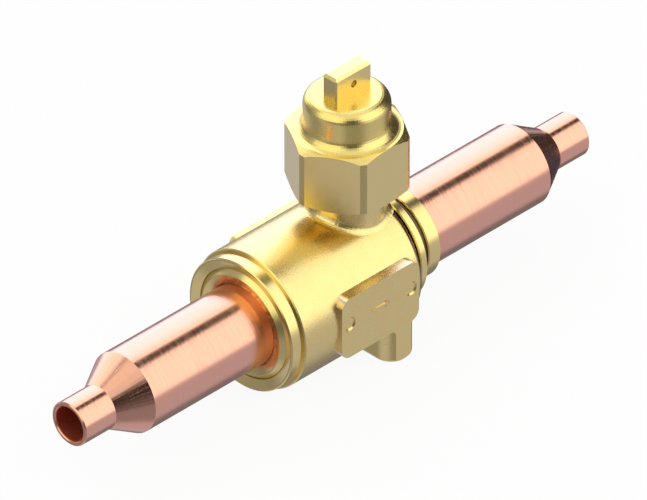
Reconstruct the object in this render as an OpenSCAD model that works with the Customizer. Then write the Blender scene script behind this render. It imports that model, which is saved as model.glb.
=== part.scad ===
// Shut-off ball valve with swaged copper ends, drawn open with its seal cap on.
// Lengths are in millimetres. The pieces are drawn round the centre of the ball, with X along the
// pipe and Z up the stem; stand() then sets the valve down on Z = 0 under the middle of its length.

/* [Copper tubes] */
// Outer diameter of the tube where it enters the body
tube_d = 22.2; // [20:0.1:24]
// Wall of the tube
tube_wall = 1.3; // [1:0.05:1.6]
// Tube that shows between the body and the cone
tube_reach = 40.6; // [20:0.1:80]
// Half angle of the swaged cone
cone_angle = 30; // [20:1:45]
// Bore of the stub, which takes the pipe of the plant
stub_bore = 9.6; // [6.4:0.1:12.8]
// Wall of the stub
stub_wall = 1.25; // [0.9:0.05:1.6]
// Length of the stub
stub_len = 10.5; // [8:0.1:20]
// Chamfer on both edges of the stub's mouth
stub_chamfer = 0.3; // [0.1:0.05:0.4]

/* [Ball and seats] */
// Diameter of the ball
ball_d = 25; // [24:0.1:27]
// Port through the ball
port_d = 15.5; // [13:0.1:16]
// Chamfer at both ends of the port
port_chamfer = 0.4; // [0.2:0.1:0.6]
// How much wider than the port the seats and the body's bore are, on the radius
bore_margin = 0.25; // [0.1:0.05:0.5]
// Hole from the slot into the port, which lets trapped liquid out of the cavity
vent_d = 1.5; // [1:0.1:2]
// Metal between the port and the floor of the slot
slot_floor = 1.2; // [0.8:0.1:1.6]
// Radial thickness of a seat
seat_wall = 3.2; // [3:0.1:3.8]
// Radial width of the seat's land on the ball
seat_land = 2.2; // [1.6:0.1:2.4]
// Length of a seat along the pipe
seat_len = 3.6; // [3.2:0.1:5]
// How far a seat lies below the rim of its pocket
seat_recess = 0.2; // [0.1:0.05:0.4]
// Cord of the rubber ring behind a seat
seat_cord = 1; // [0.8:0.1:1.6]

/* [Body] */
// Space round the ball
cavity_gap = 0.75; // [0.5:0.05:1]
// How much the closure's thread stands out past the cavity's wall
closure_step = 2; // [1.6:0.1:4]
// Wall of the body round the closure's thread
spigot_wall = 3; // [2:0.1:4]
// Length of the turned spigot at the closure's end
spigot_len = 3.7; // [2:0.1:6]
// Step from the spigot up to the barrel
barrel_step = 1; // [0.5:0.1:2]
// Radius of the barrel's edge at the collar end
barrel_edge = 2.2; // [1:0.1:3]
// Small chamfers on the body's turned edges
edge_chamfer = 0.3; // [0.1:0.05:0.5]
// Width of the flat on the body's end, outside its dish
end_land = 0.4; // [0.2:0.1:1]
// Depth of the dish in the body's end, down to the closure's thread
end_dish = 0.9; // [0.4:0.1:1.4]
// Length of the hub that the tube enters at the collar end
hub_len = 4.3; // [3:0.1:6]
// Wall of the hub
hub_wall = 1.5; // [1.2:0.1:3]
// Length of the waist between the hub and the collar
waist_len = 3.2; // [2:0.1:4]
// Wall of the waist over the tube socket
waist_wall = 0.85; // [0.7:0.05:1.1]
// Length of the collar
collar_len = 2.3; // [1.5:0.1:4]
// Wall of the collar over the seat pocket
collar_wall = 4.2; // [3.6:0.1:5]
// Length of the groove between the collar and the barrel
groove_len = 2.6; // [2:0.1:4]
// Wall left under the groove
groove_wall = 1.8; // [1.6:0.1:2.6]
// Thickness of the thin rim in the groove
rim_t = 0.5; // [0.3:0.1:0.8]
// Height of the thin rim above the groove's floor
rim_h = 1.6; // [0.5:0.1:2]
// Metal between the seat pocket and the tube socket at the collar end
hub_web = 1.7; // [1.2:0.1:3]
// Depth of the tube socket at the collar end
hub_socket = 7.2; // [6:0.1:12]

/* [Closure] */
// Metal between the seat pocket and the tube socket in the closure
closure_web = 10.1; // [8:0.1:16]
// Depth of the tube socket in the closure
closure_socket = 14.5; // [12:0.1:20]
// Length of the closure's thread
closure_thread = 13.1; // [8:0.1:14]
// How far the crest of the closure's face stands out past the body's end
crest_proud = 0.1; // [0:0.05:0.4]
// Width of the crest's flat
crest_land = 0.3; // [0.1:0.1:0.6]
// Slope of the face between the crest and the thread
crest_slope = 45; // [40:1:60]
// Depth of the dish inside the crest, down to the tube
dish_depth = 1.1; // [0.4:0.1:1.4]
// Cord of the closure's rubber ring
closure_cord = 1.5; // [1.2:0.1:2]
// Metal between the groove of that ring and the seat pocket
closure_ring_web = 1.5; // [1:0.1:2]

/* [Brazed joints] */
// Radial gap round the tube at the closure's mouth
closure_relief = 0.4; // [0.4:0.1:1]
// Radial gap round the tube at the hub's mouth
hub_relief = 0.6; // [0.4:0.1:0.8]
// Depth of the relief in the closure
closure_relief_depth = 1.2; // [1:0.1:3]
// Depth of the relief in the hub
hub_relief_depth = 1; // [0.8:0.1:1.6]
// How far the braze metal climbs out of its relief along the tube
braze_climb = 0.3; // [0.1:0.05:0.5]
// How far it lies below the mouth at the relief's wall
braze_drop = 0.15; // [0.1:0.05:0.5]

/* [Neck] */
// Diameter of the neck's thread
neck_thread_d = 20; // [19:0.1:22]
// Pitch of that thread
neck_pitch = 1.5; // [1:0.25:1.5]
// How much the plain neck is wider than its thread, on the radius
neck_step = 0.3; // [0.2:0.05:0.5]
// Radius of the blend between the neck and the barrel
neck_blend = 2.5; // [1.5:0.1:3]
// Height of the neck above the shoulder that holds the stem
neck_bore_len = 20.5; // [19:0.1:26]

/* [Stem] */
// Diameter of the stem
stem_d = 9; // [8:0.1:9.6]
// Diameter of the collar that stops the stem from blowing out
stem_collar_d = 14; // [13:0.1:15]
// Height of that collar
stem_collar_h = 3; // [2:0.1:4]
// Height of the stem's collar above the ball's cavity
collar_rise = 0.2; // [0.1:0.05:1]
// Thickness of the tongue in the ball's slot
tongue_t = 4.8; // [4:0.1:6]
// Width of the tongue
tongue_w = 13; // [11:0.1:13]
// Thickness of the thrust washer
washer_t = 1; // [0.8:0.1:1.5]
// Height of the lower rubber ring above the shoulder
ring_low = 4; // [3:0.1:5]
// Distance between the stem's two rubber rings
ring_pitch = 5; // [4:0.1:6]
// Cord of the stem's rubber rings
stem_cord = 1.5; // [1.2:0.1:1.8]
// Length of the stem above the neck
stem_head = 8; // [5:0.1:10]
// Width across the two flats for the spanner
stem_flats = 6.4; // [5.6:0.1:7]
// Width of the mark along the port in the stem's top
mark_w = 1.2; // [0.8:0.1:2]
// Depth of that mark
mark_depth = 1; // [0.5:0.1:2]
// Diameter of the stop pin
pin_d = 2.5; // [2:0.1:3]
// Depth of the pin's centre below the neck's top
pin_drop = 2; // [1.8:0.1:3]
// Wall between the stop pin's pocket and the core of the thread
stop_wall = 1.1; // [1:0.05:1.4]

/* [Seal cap] */
// Width across the cap's flats
hex_af = 28.5; // [27:0.1:32]
// Height of the hexagon
hex_h = 16.7; // [14:0.1:18]
// How much is turned off the hexagon's corners
hex_trim = 0.5; // [0.2:0.1:0.9]
// Width left between the flats and the round ends of the hexagon
hex_land = 0.1; // [0.05:0.05:0.3]
// Slope of the turned ends of the hexagon
hex_slope = 30; // [20:1:40]
// Height of the chamfer at the foot of the hexagon's corners
foot_chamfer = 0.8; // [0.4:0.1:1.5]
// How far the cap reaches down over the neck
cap_skirt = 12.8; // [11:0.1:14]
// Diameter of the round top
dome_d = 22.2; // [21:0.1:26]
// Radius of the blend from the hexagon to the round top
dome_blend = 3; // [1.5:0.1:4]
// Radius of the upper edge
dome_round = 3; // [1:0.1:4]
// Room between the stem's end and the roof of the cap
cap_room = 1.5; // [1:0.1:3]
// Thickness of the cap's roof
cap_roof = 4.7; // [3:0.1:6]
// Wall of the cap beside the stem
cap_wall = 2.8; // [2.4:0.1:3]
// Slope inside the cap, between its wall and its roof
roof_slope = 3; // [1:0.1:4]
// Depth of the plain bore at the cap's mouth
mouth_len = 2; // [1.5:0.1:3]
// Thickness of the cap's gasket
gasket_t = 1; // [0.8:0.1:1.6]
// Length of the tang on top
tang_len = 12.5; // [10:0.1:16]
// Thickness of the tang
tang_t = 4.8; // [3:0.1:6]
// Height of the tang
tang_h = 7.6; // [6:0.1:12]
// Chamfer round the top of the tang
tang_chamfer = 0.7; // [0.3:0.1:1]
// Chamfer on the tang's upright edges
tang_edge = 0.4; // [0.2:0.1:0.7]
// Hole for the seal wire
wire_hole_d = 2; // [1:0.1:2.6]

/* [Name pads] */
// Length of a pad along the pipe
pad_len = 27.2; // [20:0.1:32]
// Height of a pad
pad_h = 17.9; // [14:0.1:22]
// Corner radius of a pad
pad_corner = 3; // [1:0.1:5]
// How far a pad stands out past the barrel
pad_proud = 0.85; // [0.5:0.05:2]
// Distance from a pad to the collar's end of the barrel
pad_margin = 3; // [2.4:0.1:5]
// Distance between the two dimples that the forging's ejector pins left in the front pad
dimple_pitch = 21.6; // [16:0.1:22]
// Diameter of a dimple at the face of the pad
dimple_d = 4; // [2.4:0.1:5]
// Depth of a dimple, and the width of its slanting wall
dimple_depth = 0.4; // [0.1:0.05:0.5]
// Height of the dimples above the middle of the pad
dimple_z = 1.2; // [0:0.1:3]

/* [Feet] */
// Width of the feet along the pipe
foot_w = 10.5; // [9:0.1:12]
// Distance between the two mounting holes
hole_pitch = 31.2; // [30:0.1:34]
// Radius of the fillet between the foot's flat and the pad
foot_fillet = 1.8; // [1:0.1:2.4]
// Height of the feet's faces above the bottom of the barrel
foot_rise = 0.2; // [0:0.1:2]
// Radius of the rounding along the lower edge of the feet
foot_round = 1.2; // [0.4:0.1:2]
// Drill of the threaded mounting holes
hole_d = 4.2; // [3:0.1:5]
// Depth of the mounting holes
hole_depth = 7; // [5:0.1:8]

/* [Fits] */
// Radial clearance of a turning or sliding fit
running_gap = 0.05; // [0.02:0.01:0.08]
// Radial gap between fixed pieces that go into each other
seated_gap = 0.03; // [0.01:0.01:0.05]
// Radial gap for the braze between a tube and its socket
braze_gap = 0.05; // [0.03:0.01:0.08]
// Gap between the ball and its seats
seat_gap = 0.08; // [0.05:0.01:0.12]
// Play of the tongue in its slot, on each side
tongue_gap = 0.1; // [0.05:0.01:0.2]
// Gap between the tongue and the floor of its slot
tongue_floor_gap = 0.3; // [0.1:0.05:0.5]
// Radial gap round the stem's collar
collar_gap = 0.3; // [0.1:0.05:0.5]
// Gap round the stop pin's ends and under it
pin_gap = 0.4; // [0.3:0.05:0.6]
// Radial gap between the plain neck and the cap's mouth
mouth_gap = 0.3; // [0.2:0.05:0.5]
// How far the neck's shoulder lies below the end of the cap's plain bore
shoulder_gap = 0.5; // [0.4:0.05:0.8]

/* [Hidden] */
$fn = 96;

brass = "#d9c26c";
copper = "#e8a07c";
steel = "#b8bcc0";
chrome = "#dfe3e6";
ptfe = "#f2f2ee";
rubber = "#2b2b2b";
braze = "#c9a46a";

// How far a cutting shape runs past what it cuts
past = 1;
// Depth of a metric thread of one millimetre pitch
thread_depth = 0.61;
// Half width of the groove for a rubber ring, as a share of the ring's cord
groove_share = 0.65;

// Tube, cone and stub
tube_r = tube_d/2;
tube_bore_r = tube_r - tube_wall;
stub_bore_r = stub_bore/2;
stub_r = stub_bore_r + stub_wall;
cone_len = (tube_r - stub_r)/tan(cone_angle);
socket_r = tube_r + braze_gap;

// Ball and seats, as distances from the centre of the ball
ball_r = ball_d/2;
port_r = port_d/2;
bore_r = port_r + bore_margin;
seat_r = bore_r + seat_wall;
pocket_r = seat_r + seated_gap;
seat_front = sqrt(ball_r^2 - (bore_r + seat_land)^2);
seat_back = seat_front + seat_len;
pocket_rim = seat_front - seat_recess;
pocket_floor = seat_back + seat_cord + 2*seated_gap;
cavity_r = ball_r + cavity_gap;

// Body, from the ball outwards
thread_bore_r = cavity_r + closure_step;
spigot_r = thread_bore_r + spigot_wall;
barrel_r = spigot_r + barrel_step;
hub_socket_floor = pocket_floor + hub_web;
body_right = hub_socket_floor + hub_socket;
closure_socket_floor = pocket_floor + closure_web;
closure_mouth = closure_socket_floor + closure_socket;
closure_face = closure_mouth + dish_depth;
closure_ring_x = pocket_floor + closure_ring_web + groove_share*closure_cord;
body_left = closure_face - crest_proud;
barrel_left = body_left - spigot_len;
closure_foot = body_left - end_dish;
thread_end = body_left - closure_thread;
hub_start = body_right - hub_len;
waist_start = hub_start - waist_len;
collar_start = waist_start - collar_len;
barrel_right = collar_start - groove_len;
hub_r = socket_r + hub_wall;
waist_r = socket_r + waist_wall;
collar_r = pocket_r + collar_wall;
groove_r = pocket_r + groove_wall;
rim_start = (barrel_right + collar_start - rim_t)/2;
body_mid = (body_right - body_left)/2;

// Stem and neck, as heights above the centre of the ball
slot_z = port_r + slot_floor;
tongue_z = slot_z + tongue_floor_gap;
stem_collar_z = cavity_r + collar_rise;
washer_z = stem_collar_z + stem_collar_h + running_gap;
shoulder_z = washer_z + washer_t;
neck_top = shoulder_z + neck_bore_len;
stem_top = neck_top + stem_head;
stem_r = stem_d/2;
stem_bore_r = stem_r + running_gap;
stem_collar_r = stem_collar_d/2;
collar_bore_r = stem_collar_r + collar_gap;
neck_thread_r = neck_thread_d/2;
neck_core_r = neck_thread_r - thread_depth*neck_pitch;
neck_r = neck_thread_r + neck_step;
pin_r = pin_d/2;
pin_z = neck_top - pin_drop;
stop_r = neck_core_r - stop_wall;
pin_len = 2*(stop_r - pin_gap);
stop_floor = pin_z - pin_r - pin_gap;
ring_z = [shoulder_z + ring_low, shoulder_z + ring_low + ring_pitch];

// Cap
cap_bottom = neck_top - cap_skirt;
hex_top = cap_bottom + hex_h;
gasket_z = neck_top + seated_gap;
cap_seat_z = gasket_z + gasket_t + seated_gap;
cap_roof_z = stem_top + cap_room;
cap_top = cap_roof_z + cap_roof;
hex_corner_r = hex_af/2/cos(30) - hex_trim;
dome_r = dome_d/2;
cap_bore_r = neck_thread_r + running_gap;
cap_inner_r = dome_r - cap_wall;
cap_mouth_r = neck_r + mouth_gap;
neck_shoulder_z = cap_bottom + mouth_len - shoulder_gap;

// Pads and feet
pad_face = barrel_r + pad_proud;
pad_x = barrel_right - pad_margin - pad_len/2;
foot_face = barrel_r - foot_rise;
foot_r = foot_w/2;
foot_flat = sqrt(max(0, foot_r^2 - (pad_face - hole_pitch/2)^2));

// Points along an arc about a centre, from one angle to another
function arc(x, y, r, a0, a1, n = 8) =
    [for (i = [0:n]) let (a = a0 + (a1 - a0)*i/n) [x + r*cos(a), y + r*sin(a)]];

// A profile of [radius, place along the pipe] turned about the pipe
module turned_on_pipe(profile) {
    rotate([0, 90, 0]) rotate_extrude() polygon(profile);
}

// A profile of [radius, height] turned about the stem
module turned_on_stem(profile) {
    rotate_extrude() polygon(profile);
}

// Sets the valve down on Z = 0, with the middle of its length at X = 0
module stand() {
    translate([-body_mid, 0, barrel_r]) children();
}

// What is drawn at the closure's end, on the left, or mirrored to the right
module at_side(side) {
    if (side < 0) children();
    else mirror([1, 0, 0]) children();
}

// A rubber ring of round cord, centred on its own axis
module cord_ring(centre_r, cord) {
    rotate_extrude() translate([centre_r, 0]) circle(d = cord, $fn = 32);
}

module rounded_rectangle(w, h, r) {
    square([w - 2*r, h], center = true);
    square([w, h - 2*r], center = true);
    for (x = [-1, 1], y = [-1, 1]) translate([x*(w/2 - r), y*(h/2 - r)]) circle(r);
}

// The blend between neck and barrel is what a ball of its radius leaves when it rolls round the
// corner. At each angle round the neck the ball touches both, and the blend is the arc between.
function rolling_centre(a) =
    let (s = neck_r + neck_blend, y = s*sin(a))
    [s*cos(a), y, sqrt((barrel_r + neck_blend)^2 - y^2)];
function blend_section(a) =
    let (c = rolling_centre(a),
         to_neck = [-cos(a), -sin(a), 0],
         to_barrel = [0, -c.y, -c.z]/(barrel_r + neck_blend),
         bend = acos(to_neck*to_barrel),
         sunk = 0.8,
         steps = 6)
    concat(
        [c + (neck_blend + sunk)*to_neck],
        [for (i = [0:steps])
            let (t = 0.05 + 0.9*i/steps)
            c + neck_blend*(sin((1 - t)*bend)*to_neck + sin(t*bend)*to_barrel)/sin(bend)],
        [c + (neck_blend + sunk)*to_barrel,
         [(neck_r - sunk)*cos(a), (neck_r - sunk)*sin(a), c.z*barrel_r/(barrel_r + neck_blend) - sunk]]);

module neck_blend_ring() {
    turns = 60;
    sections = [for (i = [0:turns - 1]) blend_section(360*i/turns)];
    m = len(sections[0]);
    polyhedron(
        points = [for (s = sections, p = s) p],
        faces = [for (i = [0:turns - 1], j = [0:m - 1])
            let (k = (i + 1)%turns, l = (j + 1)%m)
            each [[i*m + j, i*m + l, k*m + j], [i*m + l, k*m + l, k*m + j]]]);
}

module body_outside() {
    turned_on_pipe(concat(
        [[0, -body_left], [spigot_r - edge_chamfer, -body_left], [spigot_r, -body_left + edge_chamfer],
         [spigot_r, -barrel_left], [barrel_r - edge_chamfer, -barrel_left],
         [barrel_r, -barrel_left + edge_chamfer]],
        arc(barrel_r - barrel_edge, barrel_right - barrel_edge, barrel_edge, 0, 90),
        [[groove_r, barrel_right], [groove_r, rim_start], [groove_r + rim_h, rim_start],
         [groove_r + rim_h, rim_start + rim_t], [groove_r, rim_start + rim_t],
         [groove_r, collar_start], [collar_r - edge_chamfer, collar_start],
         [collar_r, collar_start + edge_chamfer], [collar_r, waist_start - edge_chamfer],
         [collar_r - edge_chamfer, waist_start], [waist_r, waist_start], [waist_r, hub_start],
         [hub_r - edge_chamfer, hub_start], [hub_r, hub_start + edge_chamfer],
         [hub_r, body_right - edge_chamfer], [hub_r - edge_chamfer, body_right], [0, body_right]]));
}

// The neck stands on the barrel. Inside the cap it is drawn to the core of its thread, and the cap's
// bore to the full width of it, so the space between the two is what the threads fill.
module neck() {
    turned_on_stem([[0, 0], [neck_r, 0], [neck_r, neck_shoulder_z],
                    [neck_core_r, neck_shoulder_z + neck_r - neck_core_r],
                    [neck_core_r, neck_top - edge_chamfer], [neck_core_r - edge_chamfer, neck_top],
                    [0, neck_top]]);
    blend_end = barrel_right - barrel_edge/4;
    intersection() {
        neck_blend_ring();
        translate([blend_end - 2*barrel_r, -barrel_r, 0]) cube(2*barrel_r);
    }
}

// Both pads in one slab through the barrel, with the fillet that leads down to the feet's flats
module pads() {
    rotate([90, 0, 0]) linear_extrude(2*pad_face, center = true) {
        translate([pad_x, 0]) rounded_rectangle(pad_len, pad_h, pad_corner);
        translate([-foot_flat, -pad_h/2]) difference() {
            translate([-foot_fillet, -foot_fillet]) square(foot_fillet + foot_flat);
            translate([-foot_fillet, -foot_fillet]) circle(foot_fillet);
        }
    }
}

// Half of a foot's section, from its middle to its side
module foot_section() {
    foot_top = pad_corner/2 - pad_h/2;
    translate([0, -foot_face]) square([foot_r - foot_round, foot_face + foot_top]);
    translate([0, foot_round - foot_face]) square([foot_r, foot_face + foot_top - foot_round]);
    translate([foot_r - foot_round, foot_round - foot_face]) circle(foot_round);
}

// Two feet with round ends and a rounded lower edge, joined by a web and trimmed flush with the pads
module feet() {
    intersection() {
        union() {
            for (y = [-1, 1]) translate([0, y*hole_pitch/2, 0]) rotate_extrude() foot_section();
            rotate([90, 0, 0]) linear_extrude(hole_pitch, center = true)
                for (side = [0, 1]) mirror([side, 0]) foot_section();
        }
        translate([-foot_r - past, -pad_face, -foot_face - past])
            cube([foot_w + 2*past, 2*pad_face, foot_face]);
    }
}

module body_inside() {
    end_land_r = spigot_r - edge_chamfer - end_land;
    turned_on_pipe([
        [0, -body_left - past], [end_land_r, -body_left - past], [end_land_r, -body_left],
        [thread_bore_r, -closure_foot], [thread_bore_r, -thread_end],
        [cavity_r, -thread_end], [cavity_r, pocket_rim], [pocket_r, pocket_rim],
        [pocket_r, pocket_floor], [bore_r, pocket_floor], [bore_r, hub_socket_floor],
        [socket_r, hub_socket_floor], [socket_r, body_right - hub_relief_depth],
        [tube_r + hub_relief, body_right - hub_relief_depth],
        [tube_r + hub_relief, body_right + past], [0, body_right + past]]);
}

// The stem's bore, with the collar's chamber below and the stop pin's pocket at the top
module neck_inside() {
    turned_on_stem([[0, 0], [collar_bore_r, 0], [collar_bore_r, shoulder_z],
                    [stem_bore_r, shoulder_z], [stem_bore_r, neck_top + past], [0, neck_top + past]]);
    translate([0, 0, stop_floor]) linear_extrude(neck_top - stop_floor + past) intersection() {
        circle(stop_r);
        union() {
            square([2*stop_r + past, pin_d + 2*running_gap], center = true);
            square([pin_d + 2*running_gap, 2*stop_r + past], center = true);
            translate([0, -stop_r - past]) square(stop_r + past);
            translate([-stop_r - past, 0]) square(stop_r + past);
        }
    }
}

module dimples() {
    for (x = [-1, 1]) translate([pad_x + x*dimple_pitch/2, -pad_face - past, dimple_z])
        rotate([-90, 0, 0]) cylinder(
            d1 = dimple_d + 2*past, d2 = dimple_d - 2*dimple_depth, h = past + dimple_depth);
}

module mounting_holes() {
    for (y = [-1, 1]) translate([0, y*hole_pitch/2, -foot_face - past])
        cylinder(d = hole_d, h = hole_depth + past);
}

module valve_body() {
    color(brass) stand() difference() {
        union() {
            body_outside();
            neck();
            pads();
            feet();
        }
        body_inside();
        neck_inside();
        dimples();
        mounting_holes();
    }
}

// Screwed in from the left: thread, nose with its ring groove, seat pocket, bore and tube socket
module end_closure() {
    thread_r = thread_bore_r - running_gap;
    nose_r = cavity_r - running_gap;
    ring_floor = nose_r + running_gap - closure_cord;
    ring_half = groove_share*closure_cord;
    ring_x = -closure_ring_x;
    relief_r = tube_r + closure_relief;
    slope_r = thread_r - edge_chamfer;
    crest_r = slope_r - (closure_face - closure_foot)/tan(crest_slope);
    color(brass) stand() turned_on_pipe([
        [relief_r, -closure_mouth], [crest_r - crest_land, -closure_face], [crest_r, -closure_face],
        [slope_r, -closure_foot], [thread_r, -closure_foot + edge_chamfer], [thread_r, -thread_end],
        [nose_r, -thread_end], [nose_r, ring_x - ring_half], [ring_floor, ring_x - ring_half],
        [ring_floor, ring_x + ring_half], [nose_r, ring_x + ring_half],
        [nose_r, -pocket_rim], [pocket_r, -pocket_rim], [pocket_r, -pocket_floor],
        [bore_r, -pocket_floor], [bore_r, -closure_socket_floor], [socket_r, -closure_socket_floor],
        [socket_r, -closure_mouth + closure_relief_depth],
        [relief_r, -closure_mouth + closure_relief_depth]]);
}

// The closure's ring sits between its seat pocket and its thread
module closure_ring() {
    color(rubber) stand() translate([-closure_ring_x, 0, 0]) rotate([0, 90, 0])
        cord_ring(cavity_r - closure_cord/2, closure_cord - 2*seated_gap);
}

module ball() {
    color(chrome) stand() difference() {
        sphere(ball_r);
        rotate([0, 90, 0]) cylinder(r = port_r, h = 2*ball_r + past, center = true);
        for (x = [-1, 1]) scale([x, 1, 1]) turned_on_pipe([
            [0, sqrt(ball_r^2 - port_r^2) - 2*port_chamfer],
            [port_r - port_chamfer, sqrt(ball_r^2 - port_r^2) - 2*port_chamfer],
            [port_r + port_chamfer, sqrt(ball_r^2 - port_r^2)], [port_r + port_chamfer, ball_r + past],
            [0, ball_r + past]]);
        translate([-tongue_t/2 - tongue_gap, -ball_r, slot_z])
            cube([tongue_t + 2*tongue_gap, 2*ball_r, ball_r]);
        cylinder(d = vent_d, h = ball_r, $fn = 48);
    }
}

module seat(side) {
    color(ptfe) stand() at_side(side) difference() {
        turned_on_pipe([[bore_r, -seat_front], [seat_r, -seat_front], [seat_r, -seat_back],
                        [bore_r, -seat_back]]);
        sphere(ball_r + seat_gap);
    }
}

module seat_ring(side) {
    color(rubber) stand() at_side(side)
        translate([-(seat_back + pocket_floor)/2, 0, 0]) rotate([0, 90, 0])
            cord_ring((bore_r + seat_r)/2, seat_cord);
}

module stem() {
    half = groove_share*stem_cord;
    floor_r = stem_bore_r - stem_cord;
    color(steel) stand() difference() {
        union() {
            turned_on_stem(concat(
                [[0, stem_collar_z], [stem_collar_r, stem_collar_z],
                 [stem_collar_r, stem_collar_z + stem_collar_h], [stem_r, stem_collar_z + stem_collar_h]],
                [for (z = ring_z) each
                    [[stem_r, z - half], [floor_r, z - half], [floor_r, z + half], [stem_r, z + half]]],
                [[stem_r, neck_top], [stem_r, stem_top - edge_chamfer],
                 [stem_r - edge_chamfer, stem_top], [0, stem_top]]));
            intersection() {
                translate([-tongue_t/2, -tongue_w/2, tongue_z])
                    cube([tongue_t, tongue_w, stem_collar_z + stem_collar_h/2 - tongue_z]);
                cylinder(r = stem_collar_r, h = stem_collar_z + stem_collar_h);
            }
        }
        for (y = [-1, 1]) translate([0, y*(stem_flats + stem_r)/2, neck_top + edge_chamfer + stem_head/2])
            cube([2*stem_r + past, stem_r, stem_head], center = true);
        translate([0, 0, stem_top]) cube([2*stem_r + past, mark_w, 2*mark_depth], center = true);
        translate([0, 0, pin_z]) rotate([0, 90, 0])
            cylinder(r = pin_r + seated_gap, h = 2*stem_r + past, center = true);
    }
}

module thrust_washer() {
    color(ptfe) stand() translate([0, 0, washer_z]) difference() {
        cylinder(r = stem_collar_r, h = washer_t - seated_gap);
        translate([0, 0, -past]) cylinder(r = stem_bore_r, h = washer_t + 2*past);
    }
}

module stem_ring(z) {
    color(rubber) stand() translate([0, 0, z])
        cord_ring(stem_bore_r - stem_cord/2, stem_cord - 2*seated_gap);
}

module stop_pin() {
    color(steel) stand() translate([0, 0, pin_z]) rotate([0, 90, 0])
        turned_on_stem([[0, -pin_len/2], [pin_r - edge_chamfer, -pin_len/2],
                        [pin_r, -pin_len/2 + edge_chamfer], [pin_r, pin_len/2 - edge_chamfer],
                        [pin_r - edge_chamfer, pin_len/2], [0, pin_len/2]]);
}

// The hexagon, its corners turned off to a circle and sloped at the top and the foot
module cap_hexagon() {
    land_r = hex_af/2 - hex_land;
    intersection() {
        translate([0, 0, cap_bottom]) cylinder(r = hex_af/2/cos(30), h = hex_h, $fn = 6);
        turned_on_stem([[0, cap_bottom], [land_r, cap_bottom], [hex_corner_r, cap_bottom + foot_chamfer],
                        [hex_corner_r, hex_top - (hex_corner_r - land_r)*tan(hex_slope)],
                        [land_r, hex_top], [0, hex_top]]);
    }
}

module cap_dome() {
    turned_on_stem(concat(
        [[0, hex_top - past], [dome_r + dome_blend, hex_top - past]],
        arc(dome_r + dome_blend, hex_top + dome_blend, dome_blend, 270, 180),
        arc(dome_r - dome_round, cap_top - dome_round, dome_round, 0, 90),
        [[0, cap_top]]));
}

module cap_tang() {
    c = tang_chamfer;
    difference() {
        translate([-tang_len/2, -tang_t/2, cap_top - past]) cube([tang_len, tang_t, tang_h + past]);
        for (y = [-1, 1]) translate([0, y*tang_t/2, cap_top + tang_h]) rotate([45, 0, 0])
            cube([tang_len + past, c*sqrt(2), c*sqrt(2)], center = true);
        for (x = [-1, 1]) translate([x*tang_len/2, 0, cap_top + tang_h]) rotate([0, 45, 0])
            cube([c*sqrt(2), tang_t + past, c*sqrt(2)], center = true);
        for (x = [-1, 1], y = [-1, 1]) translate([x*tang_len/2, y*tang_t/2, cap_top + tang_h/2])
            rotate([0, 0, 45])
                cube([tang_edge*sqrt(2), tang_edge*sqrt(2), tang_h + past], center = true);
        translate([0, 0, cap_top + tang_h/2]) rotate([90, 0, 0])
            cylinder(d = wire_hole_d, h = tang_t + past, center = true, $fn = 48);
    }
}

module seal_cap() {
    color(brass) stand() difference() {
        union() {
            cap_hexagon();
            cap_dome();
            cap_tang();
        }
        turned_on_stem([[0, cap_bottom - past], [cap_mouth_r, cap_bottom - past],
                        [cap_mouth_r, cap_bottom + mouth_len],
                        [cap_bore_r, cap_bottom + mouth_len + cap_mouth_r - cap_bore_r],
                        [cap_bore_r, cap_seat_z], [cap_inner_r, cap_seat_z],
                        [cap_inner_r, cap_roof_z - roof_slope],
                        [cap_inner_r - roof_slope, cap_roof_z], [0, cap_roof_z]]);
    }
}

module cap_gasket() {
    color(ptfe) stand() translate([0, 0, gasket_z]) difference() {
        cylinder(r = neck_thread_r - seated_gap, h = gasket_t);
        translate([0, 0, -past]) cylinder(r = stop_r, h = gasket_t + 2*past);
    }
}

// One piece of copper: the tube in its socket, the swaged cone and the stub
module copper_tube(side, socket_floor, body_end) {
    cone_start = body_end + tube_reach;
    cone_end = cone_start + cone_len;
    stub_end = cone_end + stub_len;
    c = stub_chamfer;
    color(copper) stand() at_side(side) turned_on_pipe([
        [tube_bore_r, -socket_floor - seated_gap], [tube_r, -socket_floor - seated_gap],
        [tube_r, -cone_start], [stub_r, -cone_end], [stub_r, -stub_end + c], [stub_r - c, -stub_end],
        [stub_bore_r + c, -stub_end], [stub_bore_r, -stub_end + c], [stub_bore_r, -cone_end],
        [tube_bore_r, -cone_start]]);
}

// Braze metal fills the relief round the tube, and its hollow face climbs a little up the tube
module braze_metal(side, mouth, relief, depth) {
    inner = tube_r + seated_gap;
    outer = tube_r + relief - seated_gap;
    root = mouth - depth + seated_gap;
    color(braze) stand() at_side(side) turned_on_pipe([
        [inner, -root], [outer, -root], [outer, -mouth + braze_drop],
        [(inner + outer)/2, -mouth + braze_drop/2], [inner, -mouth - braze_climb]]);
}

valve_body();
end_closure();
closure_ring();
ball();
seat(-1);  // seat_left
seat(1);  // seat_right
seat_ring(-1);  // seat_ring_left
seat_ring(1);  // seat_ring_right
stem();
thrust_washer();
stem_ring(ring_z[0]);  // stem_ring_lower
stem_ring(ring_z[1]);  // stem_ring_upper
stop_pin();
seal_cap();
cap_gasket();
copper_tube(-1, closure_socket_floor, body_left);  // tube_left
copper_tube(1, hub_socket_floor, body_right);  // tube_right
braze_metal(-1, closure_mouth, closure_relief, closure_relief_depth);  // braze_left
braze_metal(1, body_right, hub_relief, hub_relief_depth);  // braze_right
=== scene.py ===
# %% [markdown]
# # A brass shut-off ball valve
#
# This lesson dresses a valve for a refrigeration plant. Its solids come from a CAD model, which is
# already packed as a frame. Blender adds what drawings leave out: the finish of forged, turned and
# drawn metal, the threads under the cap, a raised arrow, and the light.
#
# All places are in metres. X runs along the pipe, Z up the stem, and the valve stands on Z = 0.

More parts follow.
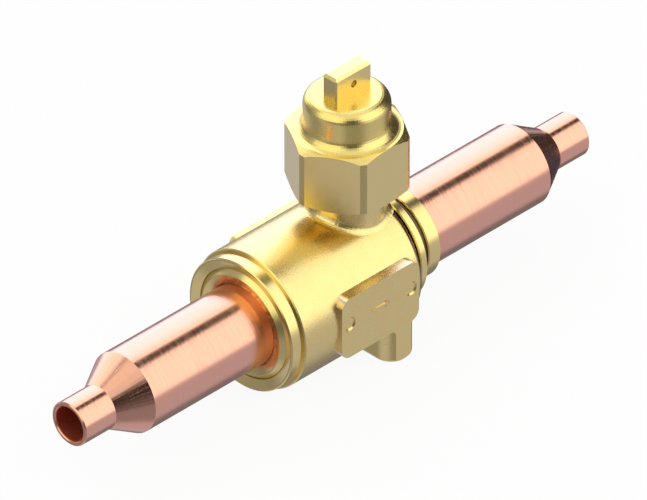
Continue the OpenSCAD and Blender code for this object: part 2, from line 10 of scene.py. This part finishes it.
# %% Load the frame
import math
import bpy
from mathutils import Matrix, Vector


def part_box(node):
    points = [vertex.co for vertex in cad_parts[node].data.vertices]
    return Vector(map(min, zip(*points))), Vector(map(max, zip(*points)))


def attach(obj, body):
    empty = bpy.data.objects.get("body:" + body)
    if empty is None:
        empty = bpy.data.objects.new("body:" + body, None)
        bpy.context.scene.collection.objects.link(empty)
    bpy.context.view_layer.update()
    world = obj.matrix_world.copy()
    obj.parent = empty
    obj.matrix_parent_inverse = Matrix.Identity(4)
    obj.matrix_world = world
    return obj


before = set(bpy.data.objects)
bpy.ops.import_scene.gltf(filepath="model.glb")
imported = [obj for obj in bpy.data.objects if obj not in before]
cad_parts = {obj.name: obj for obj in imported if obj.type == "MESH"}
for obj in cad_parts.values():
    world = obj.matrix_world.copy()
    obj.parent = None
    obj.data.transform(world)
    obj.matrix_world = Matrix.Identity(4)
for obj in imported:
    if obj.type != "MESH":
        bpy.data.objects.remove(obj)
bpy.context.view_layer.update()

# %% [markdown]
# ## The sizes that the finish needs
#
# A forged body is machined only where it has to fit something, so its finish changes at certain
# places along the pipe. They are the places of the steps in the drawing, and everything below is
# measured from them.

# %% Places on the valve
PIPE_Z = 0.01925
STEM_X = 0.00835
BARREL_LEFT = -0.02544
BARREL_RIGHT = 0.01674
PAD_FACE = 0.0201
PAD_X = 0.00014
PAD_HALF_X = 0.0136
PAD_HALF_Z = 0.00895
PAD_CORNER = 0.003
for node in ("valve_body", "seal_cap", "tube_left"):
    low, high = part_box(node)
    print(node, [round(v * 1000, 2) for v in low], [round(v * 1000, 2) for v in high])

# %% [markdown]
# ## The camera
#
# The picture of such a part is taken from far away with a very long lens, so that parallel edges
# stay parallel. It looks down the diagonal of a cube, which gives all three axes the same scale.
# A long lens is used instead of a camera without perspective, because it also frames other views.

# %% Set the camera
LENS = 1200
SENSOR = 36
VIEW_WIDTH = 0.16175
back = Vector((-1, -1, 1)).normalized()
target = Vector((0.005621, 0.005545, 0.022067))

bpy.ops.object.select_all(action="DESELECT")
bpy.ops.object.camera_add(location=target + back * VIEW_WIDTH * LENS / SENSOR)
camera = bpy.context.object
camera.name = "long_lens"
camera.rotation_mode = "QUATERNION"
camera.rotation_quaternion = (-back).to_track_quat("-Z", "Y")
camera.data.lens = LENS
camera.data.sensor_width = SENSOR
camera.data.clip_end = 100
bpy.context.scene.camera = camera
bpy.context.scene.view_settings.view_transform = "Standard"
print("camera stands", round((camera.location - target).length, 3), "m away")

# %% [markdown]
# ## Writing shaders as sums
#
# A material is a small program, and long chains of Math nodes are hard to read. One class holds the
# output of a node. Used in a sum, it adds the Math node for that sum, so a mask can be written as
# `1 - mask`. Its `node` method adds every other kind of node.

# %% A class for shader maths
class Flow:
    """The output of a node, or a whole tree where it has no output yet."""

    def __init__(self, tree, socket=None):
        self.tree = tree
        self.socket = socket

    def node(self, kind, settings=None, sockets=None, output=0):
        made = self.tree.nodes.new(kind)
        for name, value in (settings or {}).items():
            if name == "stops":
                ramp = made.color_ramp.elements
                while len(ramp) < len(value):
                    ramp.new(0.5)
                for stop, (place, colour) in zip(ramp, value):
                    stop.position = place
                    stop.color = (*colour, 1)
            else:
                setattr(made, name, value)
        for name, value in (sockets or {}).items():
            if isinstance(value, Flow):
                self.tree.links.new(value.socket, made.inputs[name])
            else:
                made.inputs[name].default_value = value
        return Flow(self.tree, made.outputs[output] if made.outputs else None)

    def math(self, operation, first, second=0.0):
        return self.node("ShaderNodeMath", {"operation": operation}, {0: first, 1: second})

    def __add__(self, other):
        return self.math("ADD", self, other)

    def __radd__(self, other):
        return self.math("ADD", other, self)

    def __sub__(self, other):
        return self.math("SUBTRACT", self, other)

    def __rsub__(self, other):
        return self.math("SUBTRACT", other, self)

    def __mul__(self, other):
        return self.math("MULTIPLY", self, other)

    def __rmul__(self, other):
        return self.math("MULTIPLY", other, self)

    def __pow__(self, other):
        return self.math("POWER", self, other)

    def __abs__(self):
        return self.math("ABSOLUTE", self)

    def smallest(self, other):
        return self.math("MINIMUM", self, other)

    def largest(self, other):
        return self.math("MAXIMUM", self, other)

    def rise(self, start, end):
        """0 below start and 1 above end, with a smooth slope between them."""
        return self.node(
            "ShaderNodeMapRange",
            {"interpolation_type": "SMOOTHSTEP"},
            {"Value": self, "From Min": start, "From Max": end},
        )

    def band(self, start, full, fading, end):
        """1 from full to fading, and 0 before start and after end."""
        return self.rise(start, full) * (1 - self.rise(fading, end))

    def split(self):
        """The three parts of a vector."""
        return [self.node("ShaderNodeSeparateXYZ", None, {0: self}, i) for i in range(3)]

    def mix(self, factor, low, high):
        """A colour between low and high."""
        return self.node(
            "ShaderNodeMix", {"data_type": "RGBA"}, {0: factor, 6: low, 7: high}, 2
        )


def colour(red, green, blue):
    return (red, green, blue, 1.0)


print("shader class ready")

# %% [markdown]
# ## The light
#
# Polished metal has hardly any colour of its own: it shows what stands round it. The bright and
# dark bands on the tubes and the cap tell what stood there: three tall softboxes round the valve, a
# brighter and cooler window in one of them, a softer light overhead, and three dark gaps, one of
# them filled a little. They could be lamps, but a world that is painted by direction gives the same
# reflections without noise.
#
# A direction is read as two angles. The bearing goes round the valve and is 0 towards +X, where the
# pipe leads away from the camera. The other is the height above the ground.

# %% Turn a direction into two angles
def degrees(value):
    return value * math.pi / 180


world = bpy.data.worlds.new("studio")
bpy.context.scene.world = world
world.use_nodes = True
world.node_tree.nodes.clear()
sky = Flow(world.node_tree)
ahead, across, up = sky.node("ShaderNodeTexCoord").split()
bearing = sky.math("ARCTAN2", across, ahead)
rise_angle = sky.math("ARCSINE", up)


def lobe(middle, full, faded):
    """1 near a bearing and 0 away from it, with all three angles in degrees."""
    return 1 - abs(bearing - degrees(middle)).rise(degrees(full), degrees(faded))


def above(start, end):
    """0 below the first height and 1 above the second, both in degrees."""
    return rise_angle.rise(degrees(start), degrees(end))


print("bearing and height ready")

# %% [markdown]
# A softbox is a tall white panel. It is painted as a stretch of bearings with soft edges. It is
# wider at the top, so the dark gaps between the panels get narrower there. A real panel would be a
# lit plane, but a stretch of bearings is easier to move: its middle and its width are plain angles.

# %% Paint the softboxes
GAP = colour(0.05, 0.045, 0.045)
FILL = colour(0.40, 0.39, 0.43)
UNDER = colour(0.56, 0.56, 0.69)
UNDER_GAP = colour(0.32, 0.32, 0.38)
UNDER_WINDOW = colour(0.20, 0.20, 0.22)
AHEAD = colour(0.07, 0.07, 0.10)
OVERHEAD = colour(0.95, 0.95, 0.95)
SOFTBOXES = ((64, colour(1.57, 1.57, 1.57)), (-64, colour(1.49, 1.49, 1.49)))
BACK_BOX = colour(1.36, 1.34, 1.08)
WINDOW = colour(1.90, 1.88, 2.40)

HALF_WIDTH = 35
WIDER_AT_TOP = 14
SOFT_EDGE = 5
half_width = degrees(HALF_WIDTH) + above(15, 56) * degrees(WIDER_AT_TOP)


def softbox(away):
    """1 inside a softbox and 0 outside, from the angle between the direction and its middle."""
    return 1 - (away - half_width).rise(degrees(-SOFT_EDGE), degrees(SOFT_EDGE))


studio = sky.mix(lobe(122, 18, 30), GAP, FILL)
for middle, level in SOFTBOXES:
    studio = sky.mix(softbox(abs(bearing - degrees(middle))), studio, level)
studio = sky.mix(softbox(math.pi - abs(bearing)), studio, BACK_BOX)
studio = sky.mix(lobe(60, 12, 38), studio, WINDOW)
overhead = (rise_angle + lobe(-122, 25, 45) * degrees(22)).rise(degrees(58), degrees(72))
studio = sky.mix(overhead, studio, OVERHEAD)
print("softboxes:", len(SOFTBOXES) + 1)

# %% [markdown]
# Below the horizon the ground answers. It is darker in two places towards -X and in a wide one
# between +X and the window. It is darkest right beyond the far end of the pipe, which turns the far
# cone almost black. Towards -X a dark strip also lies between the ground and the softboxes, with
# one paler stretch.

# %% Paint the ground
rear_gap = lobe(135, 12, 34).largest(lobe(-115, 15, 40))
ground = sky.mix(rear_gap * above(-75, -55), UNDER, UNDER_GAP)
ground = sky.mix(lobe(22, 25, 55) * above(-68, -52), ground, UNDER_WINDOW)
behind = abs(bearing).rise(degrees(80), degrees(115))
strip = behind * (1 - lobe(146, 17, 37)) * 0.7
ground = sky.mix(strip * above(-26, -6), ground, GAP)
ground = sky.mix(lobe(14, 16, 36) * above(-46, -34), ground, AHEAD)
horizon = degrees(-12) + behind * degrees(14)
studio = sky.mix((rise_angle - horizon).rise(0, degrees(14)), ground, studio)
print("ground ready")

# %% [markdown]
# Such a picture has a plain white ground. So the camera's own rays, and those that go through
# something clear, meet white in place of the studio. The metal goes on showing the studio.

# %% Show the camera white
seen = sky.node("ShaderNodeLightPath", output=0)
through = sky.node("ShaderNodeLightPath", output=6)
picture = sky.mix(seen.largest(through), studio, colour(1, 1, 1))
background = sky.node("ShaderNodeBackground", None, {"Color": picture, "Strength": 1.0})
sky.node("ShaderNodeOutputWorld", None, {"Surface": background})
print("world nodes:", len(world.node_tree.nodes))

# %% [markdown]
# The floor is a wide pale board. To the camera it is almost pure white, and only the shadow under
# the valve shows. A real floor would glare in the metal, so this one is clear to reflections. They
# go on to the darker ground that the world paints, which gives the sides that face down their calm
# tan colour.

# %% Lay the floor
bpy.ops.object.select_all(action="DESELECT")
bpy.ops.mesh.primitive_plane_add(size=14, location=(0, 0, -0.0002))
floor = bpy.context.object
floor.name = "floor_board"
floor_paint = bpy.data.materials.new("floor_paint")
floor_paint.use_nodes = True
floor_paint.node_tree.nodes.clear()
board = Flow(floor_paint.node_tree)
matt = board.node("ShaderNodeBsdfDiffuse", None, {"Color": colour(0.8, 0.8, 0.8)})
white = board.node("ShaderNodeEmission", None, {"Color": colour(1, 1, 1), "Strength": 1.0})
clear = board.node("ShaderNodeBsdfTransparent", None, {"Color": colour(1, 1, 1)})
WHITE_SHARE = 0.93
to_camera = board.node("ShaderNodeLightPath", output=0)
mirrored = board.node("ShaderNodeLightPath", output=3)
through = board.node("ShaderNodeLightPath", output=6)
lit = board.node("ShaderNodeMixShader", None, {0: to_camera * WHITE_SHARE, 1: matt, 2: white})
seen_through = mirrored.largest(through)
shown = board.node("ShaderNodeMixShader", None, {0: seen_through, 1: lit, 2: clear})
board.node("ShaderNodeOutputMaterial", None, {"Surface": shown})
floor.data.materials.append(floor_paint)
print("floor:", floor.dimensions[:])

# %% [markdown]
# ## Brass
#
# The valve's brass has two finishes. Blasted skin has a fine grain that softens every reflection,
# and turned faces have fine rings round their axis. Pictures of scratches could give both, but a
# noise has no seams and stays sharp from close by.
#
# A grain is a noise in all directions. Rings are the same noise squeezed until it changes only
# along the axis or away from it, so the distance from the axis is added to the place along it: then
# a turned face gets rings as a turned cylinder does. Spokes are lines along an axis, from a noise
# that changes only on the way round it.

# %% Helpers for metal
def new_material(name):
    material = bpy.data.materials.new(name)
    material.use_nodes = True
    material.node_tree.nodes.clear()
    return material, Flow(material.node_tree)


def place_on_part(sheet):
    return sheet.node("ShaderNodeTexCoord", output=3)


def noise(sheet, vector, scale, detail=2.0, roughness=0.5):
    sockets = {"Vector": vector, "Scale": scale, "Detail": detail, "Roughness": roughness}
    return sheet.node("ShaderNodeTexNoise", None, sockets)


def blasted_grain(sheet, place):
    return noise(sheet, place, scale=2600.0, detail=4.0, roughness=0.65)


def from_pipe(place):
    """The place along the pipe, the distance from its axis, and the two distances across it."""
    x, y, z = place.split()
    z_pipe = z - PIPE_Z
    return x, place.math("SQRT", y * y + z_pipe * z_pipe), y, z_pipe


def from_stem(place):
    """The same four for the stem."""
    x, y, z = place.split()
    x_stem = x - STEM_X
    return z, place.math("SQRT", x_stem * x_stem + y * y), x_stem, y


ROUND_SCALE = 90.0
LENGTH_SCALE = 120.0


def ring_lines(sheet, along, radius, side_a, side_b, pitch):
    """Fine lines round an axis, about pitch apart, each fading in and out on its way round."""
    place = sheet.node(
        "ShaderNodeCombineXYZ",
        None,
        {0: (along + radius) * (1 / pitch), 1: side_a * ROUND_SCALE, 2: side_b * ROUND_SCALE},
    )
    return noise(sheet, place, scale=1.0, detail=3.0, roughness=0.6)


def spoke_lines(sheet, along, radius, side_a, side_b, count):
    """Fine lines along an axis, count of them to each radian on the way round it."""
    round_a = side_a * count * radius ** -1
    round_b = side_b * count * radius ** -1
    place = sheet.node(
        "ShaderNodeCombineXYZ", None, {0: round_a, 1: round_b, 2: along * LENGTH_SCALE}
    )
    return noise(sheet, place, scale=1.0, detail=2.0, roughness=0.6)


def finish_piece(sheet, base, roughness, height, depth, metallic=1.0):
    """The shader of a piece. Its relief is a height from 0 to 1, times a depth in metres."""
    relief = sheet.node(
        "ShaderNodeBump", None, {"Strength": 1.0, "Distance": depth, "Height": height}
    )
    shader = sheet.node(
        "ShaderNodeBsdfPrincipled",
        None,
        {"Base Color": base, "Metallic": metallic, "Roughness": roughness, "Normal": relief},
    )
    sheet.node("ShaderNodeOutputMaterial", None, {"Surface": shader})


print("helpers ready")

# %% [markdown]
# The body is forged, blasted and then turned where something screws on or in. The ends of the
# barrel have rings round the pipe, and the top of the neck, under the cap, has them round the stem.
# The bottoms of the groove and of the waist are painted dark, as painted shade in these hollows.
# The walls of the front pad are trimmed after forging, so they are smoother than the skin round
# them, and they are painted paler, as a painted highlight. The body is one piece, so masks by place
# do all this in one material.

# %% Forged and turned brass for the body
BRASS = colour(0.86, 0.69, 0.28)
BRASS_WARM = colour(0.87, 0.67, 0.26)
BRASS_RICH = colour(0.87, 0.69, 0.235)
# A painted highlight for the walls of the front pad.
BRASS_PAINTED_HIGHLIGHT = colour(0.84, 0.71, 0.46)
# Painted shade for the bottoms of the groove and of the waist.
PAINTED_SHADE = colour(0.10, 0.065, 0.045)

# Two places: where a mask starts and is full. Four places: also where it fades and ends.
GROOVE = (BARREL_RIGHT - 0.0001, BARREL_RIGHT, 0.0194, 0.0195)
GROOVE_RADIUS = (0.0145, 0.0153)
WAIST = (0.0216, 0.0217, 0.0248, 0.0249)
WAIST_RADIUS = (0.0121, 0.0126)
PAD_WALL = (0.0168, 0.0169, PAD_FACE - 0.00002, PAD_FACE - 0.00001)
NECK_TURNED = (0.0438, 0.0444)

body_brass, sheet = new_material("forged_brass")
place = place_on_part(sheet)
x, pipe_radius, y, z_pipe = from_pipe(place)
z, stem_radius, x_stem, y = from_stem(place)

on_neck = z.rise(*NECK_TURNED)
left_end = 1 - x.rise(BARREL_LEFT - 0.0001, BARREL_LEFT + 0.0001)
right_end = x.rise(BARREL_RIGHT - 0.0021, BARREL_RIGHT - 0.0018)
turned = left_end.largest(right_end).largest(on_neck)

grain = blasted_grain(sheet, place)
swell = noise(sheet, place, scale=260.0)
pipe_rings = ring_lines(sheet, x, pipe_radius, y, z_pipe, pitch=0.00022)
neck_rings = ring_lines(sheet, z, stem_radius, x_stem, y, pitch=0.00022)
rings = neck_rings * on_neck + pipe_rings * (1 - on_neck)

in_groove = x.band(*GROOVE) * (1 - pipe_radius.rise(*GROOVE_RADIUS))
in_waist = x.band(*WAIST) * (1 - pipe_radius.rise(*WAIST_RADIUS))
# The bottoms of the groove and of the waist, which get painted shade.
shaded_hollows = in_groove.largest(in_waist)

past_x = (abs(x - PAD_X) - (PAD_HALF_X - PAD_CORNER)).largest(0)
past_z = (abs(z_pipe) - (PAD_HALF_Z - PAD_CORNER)).largest(0)
from_wall = sheet.math("SQRT", past_x * past_x + past_z * past_z) - PAD_CORNER
pad_wall = (1 - abs(from_wall).rise(0.00004, 0.00006)) * (y * -1).band(*PAD_WALL)

tint = sheet.mix(swell.rise(0.35, 0.65), BRASS, BRASS_WARM)
# Painted highlight: the walls of the front pad are coloured paler.
tint = sheet.mix(pad_wall, tint, BRASS_PAINTED_HIGHLIGHT)
# Painted shade: the groove and waist bottoms are coloured dark where their walls shadow them.
tint = sheet.mix(shaded_hollows * 0.92, tint, PAINTED_SHADE)
height = grain * (1 - turned) * (1 - pad_wall * 0.6) + rings * turned * 0.6
soft = 0.26 + (grain - 0.5) * 0.14
sharp = 0.20 + (rings - 0.5) * 0.10
roughness = soft * (1 - turned) + sharp * turned + shaded_hollows * 0.3
finish_piece(sheet, tint, roughness, height, depth=0.000034)
print("body brass nodes:", len(body_brass.node_tree.nodes))

# %% [markdown]
# The closure is turned all over, so its rings need no mask. They lie a little further apart than
# those on the body.

# %% Turned brass for the closure
closure_brass, sheet = new_material("turned_brass")
rings = ring_lines(sheet, *from_pipe(place_on_part(sheet)), pitch=0.0003)
roughness = 0.22 + (rings - 0.5) * 0.12
finish_piece(sheet, BRASS, roughness, rings, depth=0.00002)
print("closure brass nodes:", len(closure_brass.node_tree.nodes))

# %% [markdown]
# The cap is cut from hexagonal bar. Its flats and its tang keep a grain, and its round top is
# brushed lengthwise, which combs the edges of the bands of light that go round it.

# %% Bar brass for the cap
HEXAGON_TOP = (0.0600, 0.0606)
HEXAGON_RADIUS = (0.0138, 0.0141)
TANG_BOTTOM = (0.0714, 0.0717)

cap_brass, sheet = new_material("bar_brass")
place = place_on_part(sheet)
z, stem_radius, x_stem, y = from_stem(place)
hexagon = (1 - z.rise(*HEXAGON_TOP)) * stem_radius.rise(*HEXAGON_RADIUS)
plain = hexagon.largest(z.rise(*TANG_BOTTOM))
grain = blasted_grain(sheet, place)
rings = ring_lines(sheet, z, stem_radius, x_stem, y, pitch=0.00024)
spokes = spoke_lines(sheet, z, stem_radius, x_stem, y, count=34.0)
brushed = rings * 0.35 + spokes * 0.65
height = grain * plain * 0.7 + brushed * (1 - plain)
roughness = (0.25 + (grain - 0.5) * 0.1) * plain + (0.16 + spokes * 0.22) * (1 - plain)
tint = sheet.mix(plain, BRASS_RICH, BRASS)
finish_piece(sheet, tint, roughness, height, depth=0.00003)
print("cap brass nodes:", len(cap_brass.node_tree.nodes))

# %% [markdown]
# ## Copper
#
# The tubes are drawn, swaged to a cone and polished on a lathe. The polish leaves hair lines round
# the tube, which is why the edge of each highlight looks combed. The tool that swages the cone
# drags its own lines lengthwise. The bore is never polished, so it stays dull, and it is painted a
# darker red, as painted shade and painted copper reflections inside it. Brazing heats the end in
# the valve until a skin of oxide grows on it, first orange and then red towards the joint. The same
# tint also paints the orange reflection of the brass closure on the tube. Only the left tube shows
# its heated end, so the tint is placed there by its X.

# %% Brushed copper
COPPER = colour(0.88, 0.46, 0.31)
COPPER_DEEP = colour(0.85, 0.43, 0.285)
# The bore colour: painted shade and painted copper reflection inside the tube.
COPPER_BORE_SHADE_AND_REFLECTION = colour(0.80, 0.24, 0.13)
# The next two are heat tint from brazing that also paints the closure's orange reflection.
COPPER_HEAT_TINT_AND_REFLECTION = colour(0.97, 0.38, 0.24)
COPPER_RED_HEAT_AND_REFLECTION = colour(1.00, 0.32, 0.19)

CONE = (0.06973, 0.06983, 0.07838, 0.07848)
STUB_RADIUS = 0.00605
TUBE_RADIUS = 0.0111
WALL = (0.00118, 0.00108)  # this far under the outer skin the finish of the bore begins
HEAT_AND_REFLECTION_SPAN = (-0.0350, -0.0328, -0.0280, -0.0270)
RED_HEAT_AND_REFLECTION_SPAN = (-0.0325, -0.0292, -0.0280, -0.0270)

copper, sheet = new_material("brushed_copper")
x, pipe_radius, y, z_pipe = from_pipe(place_on_part(sheet))
hairs = ring_lines(sheet, x, pipe_radius, y, z_pipe, pitch=0.0004)
drags = spoke_lines(sheet, x, pipe_radius, y, z_pipe, count=26.0)
on_cone = abs(x).band(*CONE)
lines = (drags * 0.7 + hairs * 0.3) * on_cone + hairs * (1 - on_cone)
cone_radius = STUB_RADIUS + (CONE[3] - abs(x)) * math.tan(degrees(30))
outer_radius = cone_radius.largest(STUB_RADIUS).smallest(TUBE_RADIUS)
inside = 1 - pipe_radius.rise(outer_radius - WALL[0], outer_radius - WALL[1])
heat_and_reflection = x.band(*HEAT_AND_REFLECTION_SPAN)
red_heat_and_reflection = x.band(*RED_HEAT_AND_REFLECTION_SPAN)
tint = sheet.mix(lines.rise(0.45, 0.75), COPPER, COPPER_DEEP)
# Heat tint of brazing, which also paints the orange reflection of the brass closure near the joint.
tint = sheet.mix(heat_and_reflection * 0.85, tint, COPPER_HEAT_TINT_AND_REFLECTION)
tint = sheet.mix(red_heat_and_reflection * (0.6 + hairs * 0.4), tint, COPPER_RED_HEAT_AND_REFLECTION)
# Painted shade and painted copper reflections: the bore is coloured a darker red.
tint = sheet.mix(inside, tint, COPPER_BORE_SHADE_AND_REFLECTION)
combed = lines.rise(0.40, 0.72) * (0.09 + on_cone * 0.11)
roughness = 0.15 - on_cone * 0.04 + combed + inside * 0.35
finish_piece(sheet, tint, roughness, lines, depth=0.00003)
print("copper nodes:", len(copper.node_tree.nodes))

# %% [markdown]
# ## The braze and the pieces inside
#
# The braze metal has flowed and set round the tubes. The other pieces show only when the cap is off
# or the valve is cut open: the ball is chromed, the stem is turned steel, and the seats and washers
# are soft.

# %% Braze metal, chrome, steel, plastic and rubber
BRAZE_DARK = colour(0.62, 0.20, 0.08)
BRAZE_BRIGHT = colour(0.86, 0.40, 0.18)
CHROME = colour(0.80, 0.81, 0.83)
STEEL = colour(0.62, 0.62, 0.63)
PLASTIC = colour(0.86, 0.86, 0.83)
RUBBER = colour(0.025, 0.025, 0.026)

braze_metal, sheet = new_material("braze_metal")
flowed = noise(sheet, place_on_part(sheet), scale=900.0)
tint = sheet.mix(flowed.rise(0.3, 0.7), BRAZE_DARK, BRAZE_BRIGHT)
roughness = 0.28 + (flowed - 0.5) * 0.2
finish_piece(sheet, tint, roughness, flowed, depth=0.00003)

chrome, sheet = new_material("polished_chrome")
haze = noise(sheet, place_on_part(sheet), scale=700.0)
roughness = 0.06 + haze * 0.04
finish_piece(sheet, CHROME, roughness, haze, depth=0.000002)

stem_steel, sheet = new_material("turned_steel")
rings = ring_lines(sheet, *from_stem(place_on_part(sheet)), pitch=0.00022)
roughness = 0.26 + (rings - 0.5) * 0.15
finish_piece(sheet, STEEL, roughness, rings, depth=0.000012)

seat_plastic, sheet = new_material("waxy_plastic")
bloom = noise(sheet, place_on_part(sheet), scale=1500.0)
roughness = 0.42 + (bloom - 0.5) * 0.2
finish_piece(sheet, PLASTIC, roughness, bloom, depth=0.00001, metallic=0.0)

ring_rubber, sheet = new_material("ring_rubber")
skin = noise(sheet, place_on_part(sheet), scale=2400.0, detail=3.0, roughness=0.6)
roughness = 0.48 + (skin - 0.5) * 0.25
finish_piece(sheet, RUBBER, roughness, skin, depth=0.00001, metallic=0.0)
print("materials:", len(bpy.data.materials))

# %% [markdown]
# Every piece of the drawing gets its finish by name. A list of all names is longer than a rule, but
# it shows at a glance what each piece is made of.

# %% Give every CAD node its finish
FINISHES = {
    "valve_body": body_brass,
    "end_closure": closure_brass,
    "seal_cap": cap_brass,
    "tube_left": copper,
    "tube_right": copper,
    "braze_left": braze_metal,
    "braze_right": braze_metal,
    "ball": chrome,
    "stem": stem_steel,
    "stop_pin": stem_steel,
    "seat_left": seat_plastic,
    "seat_right": seat_plastic,
    "thrust_washer": seat_plastic,
    "cap_gasket": seat_plastic,
    "closure_ring": ring_rubber,
    "seat_ring_left": ring_rubber,
    "seat_ring_right": ring_rubber,
    "stem_ring_lower": ring_rubber,
    "stem_ring_upper": ring_rubber,
}
for name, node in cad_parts.items():
    if not node.material_slots:
        node.data.materials.append(FINISHES[name])
    for slot in node.material_slots:
        slot.material = FINISHES[name]
print("nodes with a finish:", len(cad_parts))

# %% [markdown]
# ## The threads
#
# Under the cap the neck carries a fine thread, and the cap carries its partner. The drawing leaves
# room between the neck's core and the cap's bore for both. A thread is one small section that is
# turned and lifted at the same time, which is what the Screw modifier does. Both threads follow the
# same spiral, half a turn apart, so the cap can be screwed off without the two ever touching.

# %% A helper for threads
SAME_PLACE = 1e-6
PITCH = 0.0015
THREAD_LOW = 0.04735
THREAD_TURNS = 6
TURN_STEPS = 60
ROOT_WIDTH = 0.78 * PITCH
CREST_SHARE = 0.17
NECK_CORE = 0.00900
NECK_CREST = 0.00995
CAP_WALL = 0.01010
CAP_CREST = 0.00920


def make_thread(name, root, crest, lift):
    """A spiral ridge from the root radius to the crest radius, with its start raised by lift."""
    bpy.ops.object.select_all(action="DESELECT")
    bpy.ops.mesh.primitive_plane_add(size=1, location=(0, 0, 0), rotation=(math.pi / 2, 0, 0))
    thread = bpy.context.object
    thread.name = name
    bpy.ops.object.transform_apply(location=True, rotation=True, scale=True)
    bpy.ops.object.mode_set(mode="EDIT")
    bpy.ops.mesh.select_all(action="SELECT")
    bpy.ops.transform.resize(value=(abs(crest - root), 1, ROOT_WIDTH))
    bpy.ops.transform.translate(value=((crest + root) / 2, 0, 0))
    bpy.ops.mesh.select_mode(type="VERT")
    bpy.ops.mesh.select_all(action="DESELECT")
    bpy.ops.object.mode_set(mode="OBJECT")
    for corner in thread.data.vertices:
        corner.select = abs(corner.co.x - crest) < SAME_PLACE
    bpy.ops.object.mode_set(mode="EDIT")
    bpy.ops.transform.resize(value=(1, 1, CREST_SHARE))
    bpy.ops.mesh.select_all(action="SELECT")
    bpy.ops.mesh.delete(type="ONLY_FACE")
    bpy.ops.object.mode_set(mode="OBJECT")

    screw = thread.modifiers.new("spiral", "SCREW")
    screw.angle = math.tau
    screw.screw_offset = PITCH
    screw.iterations = THREAD_TURNS
    screw.steps = TURN_STEPS
    screw.render_steps = TURN_STEPS
    bpy.ops.object.modifier_apply(modifier=screw.name)

    # Both ends run out into a point.
    bpy.ops.object.mode_set(mode="EDIT")
    for end in (0, PITCH * THREAD_TURNS):
        bpy.ops.mesh.select_all(action="DESELECT")
        bpy.ops.object.mode_set(mode="OBJECT")
        for corner in thread.data.vertices:
            at_seam = abs(corner.co.y) < SAME_PLACE and corner.co.x > 0
            corner.select = at_seam and abs(corner.co.z - end) < PITCH / 2
        bpy.ops.object.mode_set(mode="EDIT")
        bpy.ops.mesh.merge(type="CENTER")
    bpy.ops.mesh.select_all(action="SELECT")
    bpy.ops.mesh.normals_make_consistent(inside=False)
    bpy.ops.transform.translate(value=(STEM_X, 0, THREAD_LOW + lift))
    bpy.ops.object.mode_set(mode="OBJECT")
    bpy.ops.object.shade_smooth_by_angle(angle=math.radians(30))
    print(name, "faces:", len(thread.data.polygons))
    return thread


# %% [markdown]
# The ridge on the neck points outwards and the one in the cap points inwards. Each rides on the
# body that carries it, so the cap takes its own thread along when it is lifted.

# %% Cut both threads
neck_thread = make_thread("neck_thread", NECK_CORE, NECK_CREST, lift=0)
neck_thread.data.materials.append(body_brass)
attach(neck_thread, "base")

cap_thread = make_thread("cap_thread", CAP_WALL, CAP_CREST, lift=PITCH / 2)
cap_thread.data.materials.append(cap_brass)
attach(cap_thread, "cap")

# %% [markdown]
# ## The arrow on the front pad
#
# A ball valve that seals both ways carries an arrow with two heads beside the pipe. It could be
# painted in the shader, but a low raised shape catches the light on its edges from every side. It
# starts as one square, which is stretched to the shaft and then grows a head at both ends. It is
# sunk into the pad a little, so that no gap shows under it.

# %% Raise the arrow
ARROW_Z = PIPE_Z + 0.0012
ARROW_X = PAD_X
ARROW_HALF = 0.0030
HEAD_LENGTH = 0.0012
HEAD_HALF = 0.0010
SHAFT_THIN = 0.00034
ARROW_RISE = 0.00020
ARROW_SINK = 0.00004
TIP_SHARE = 0.06
EDGE_WIDTH = 0.00005

bpy.ops.object.select_all(action="DESELECT")
bpy.ops.mesh.primitive_plane_add(size=1, location=(0, 0, 0), rotation=(math.pi / 2, 0, 0))
arrow = bpy.context.object
arrow.name = "flow_arrow"
bpy.ops.object.transform_apply(location=True, rotation=True, scale=True)
bpy.ops.object.mode_set(mode="EDIT")
bpy.ops.mesh.select_mode(type="EDGE")
bpy.ops.mesh.select_all(action="SELECT")
bpy.ops.transform.resize(value=(2 * (ARROW_HALF - HEAD_LENGTH), 1, 2 * SHAFT_THIN))
for side in (-1, 1):
    bpy.ops.mesh.select_all(action="DESELECT")
    bpy.ops.object.mode_set(mode="OBJECT")
    end = side * (ARROW_HALF - HEAD_LENGTH)
    mesh = arrow.data
    for edge in mesh.edges:
        edge.select = all(abs(mesh.vertices[v].co.x - end) < SAME_PLACE for v in edge.vertices)
    bpy.ops.object.mode_set(mode="EDIT")
    # The shoulders of the head go out sideways, and its tip goes forward to a point.
    bpy.ops.mesh.extrude_region_move(TRANSFORM_OT_translate={"value": (side * 1e-5, 0, 0)})
    bpy.ops.transform.resize(value=(1, 1, HEAD_HALF / SHAFT_THIN))
    bpy.ops.mesh.extrude_region_move(TRANSFORM_OT_translate={"value": (side * HEAD_LENGTH, 0, 0)})
    bpy.ops.transform.resize(value=(1, 1, TIP_SHARE))
bpy.ops.mesh.select_all(action="SELECT")
bpy.ops.transform.translate(value=(ARROW_X, -PAD_FACE + ARROW_SINK, ARROW_Z))
bpy.ops.object.mode_set(mode="OBJECT")

thick = arrow.modifiers.new("rise", "SOLIDIFY")
thick.thickness = ARROW_RISE + ARROW_SINK
thick.offset = 1
bpy.ops.object.modifier_apply(modifier=thick.name)
soft_edge = arrow.modifiers.new("soft_edge", "BEVEL")
soft_edge.width = EDGE_WIDTH
soft_edge.segments = 2
bpy.ops.object.modifier_apply(modifier=soft_edge.name)
bpy.ops.object.mode_set(mode="EDIT")
bpy.ops.mesh.select_all(action="SELECT")
bpy.ops.mesh.normals_make_consistent(inside=False)
bpy.ops.object.mode_set(mode="OBJECT")
bpy.ops.object.shade_smooth_by_angle(angle=math.radians(35))
arrow.data.materials.append(body_brass)
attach(arrow, "base")
corners = [v.co for v in arrow.data.vertices]
print("arrow from", min(c.y for c in corners), "to", max(c.y for c in corners))
